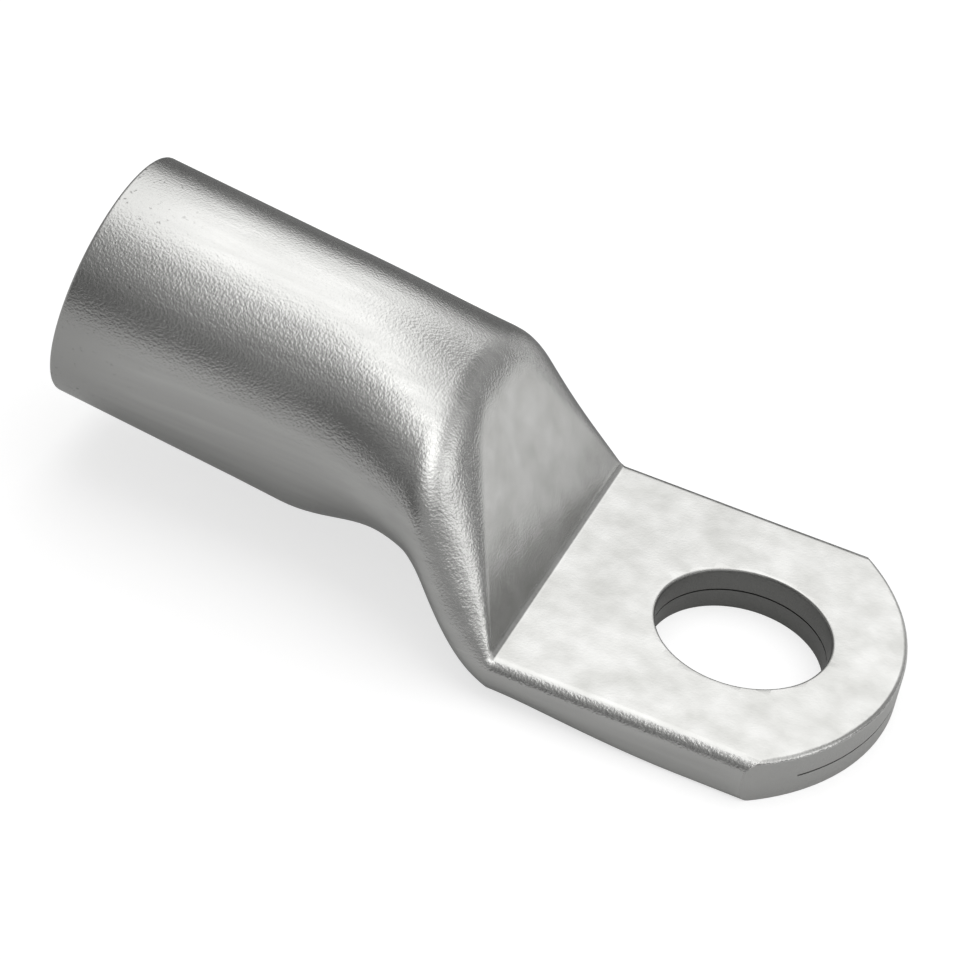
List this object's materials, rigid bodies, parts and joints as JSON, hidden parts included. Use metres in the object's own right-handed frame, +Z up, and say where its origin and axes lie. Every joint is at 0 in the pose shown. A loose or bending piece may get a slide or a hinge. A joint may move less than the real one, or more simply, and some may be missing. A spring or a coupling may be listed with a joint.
{
  "type": "cable lug",
  "caption": "Tinned copper tube cable lug: a round barrel that is crimped on a stripped cable, pressed flat at its other end into a rounded palm with a hole for a stud.",
  "frame": {"origin": "centre of the stud hole on the palm's underside", "axes": "+Z up through the palm along the stud hole, +X towards the palm's rounded tip, the barrel towards -X, Y across, and the plane Y = 0 is a mirror plane"},
  "size_m": [0.0651, 0.0276, 0.0231],
  "materials": {
    "tinned_copper": "satin grey electro-tinned copper"
  },
  "bodies": {
    "root": {"cable_lug": "tinned_copper"}
  },
  "joints": []
}
